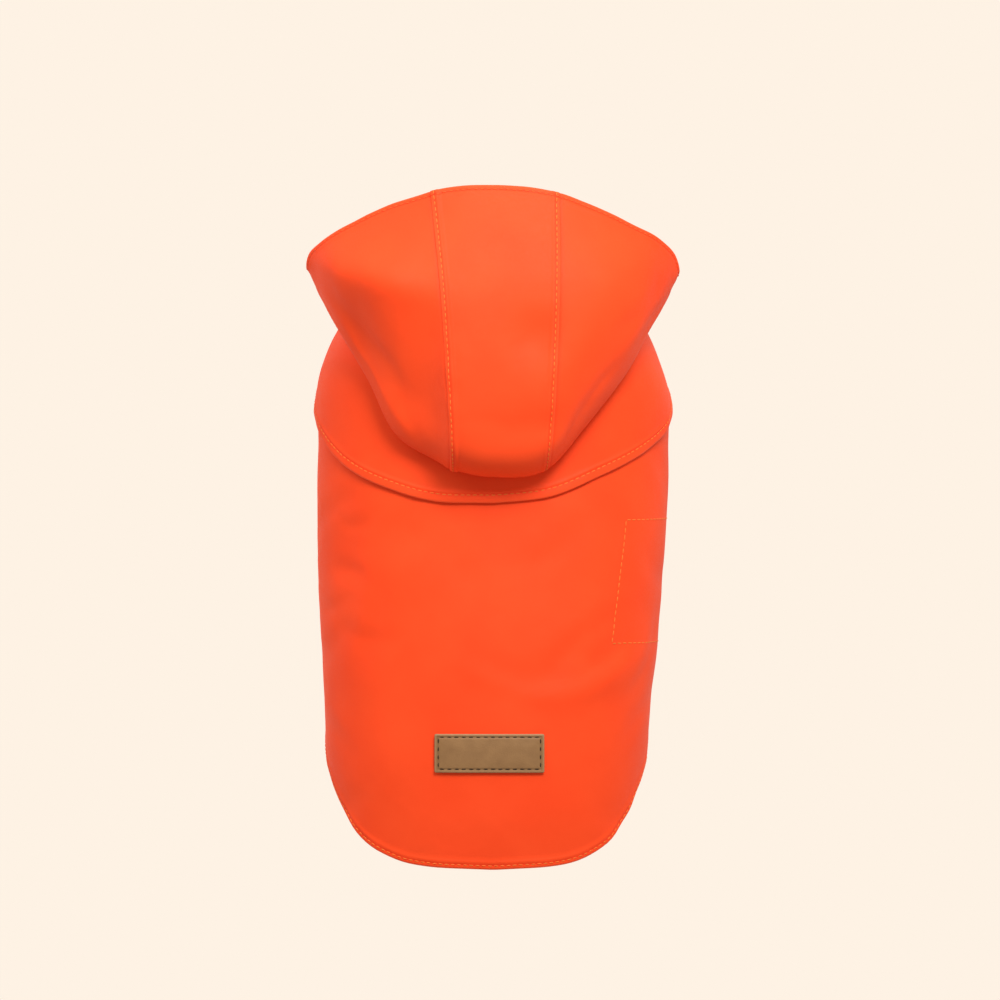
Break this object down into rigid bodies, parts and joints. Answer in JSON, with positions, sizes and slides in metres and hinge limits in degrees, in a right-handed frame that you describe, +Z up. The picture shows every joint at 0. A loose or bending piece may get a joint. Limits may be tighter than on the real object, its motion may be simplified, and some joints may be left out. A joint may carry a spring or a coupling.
{
  "type": "dog raincoat",
  "caption": "Hooded dog raincoat in coated rain cloth, in its hollow worn form, with a shoulder cape, a three-panel hood, a belly strap and a plain leather label.",
  "frame": {"origin": "on the inner face of the back panel, on the spine, where the coat rests on its wearer's back", "axes": "+Y towards the hood, along the spine; +X towards the right flank; +Z up, away from the wearer's back"},
  "size_m": [0.189, 0.3424, 0.1694],
  "materials": {
    "rain_cloth": "matte coated rain fabric, bright orange",
    "label_leather": "smooth tan leather, bare"
  },
  "bodies": {
    "root": {"back_panel": "rain_cloth", "yoke": "rain_cloth", "hood_side_left": "rain_cloth", "hood_gusset": "rain_cloth", "hood_side_right": "rain_cloth", "belly_strap": "rain_cloth", "label": "label_leather"}
  },
  "joints": []
}
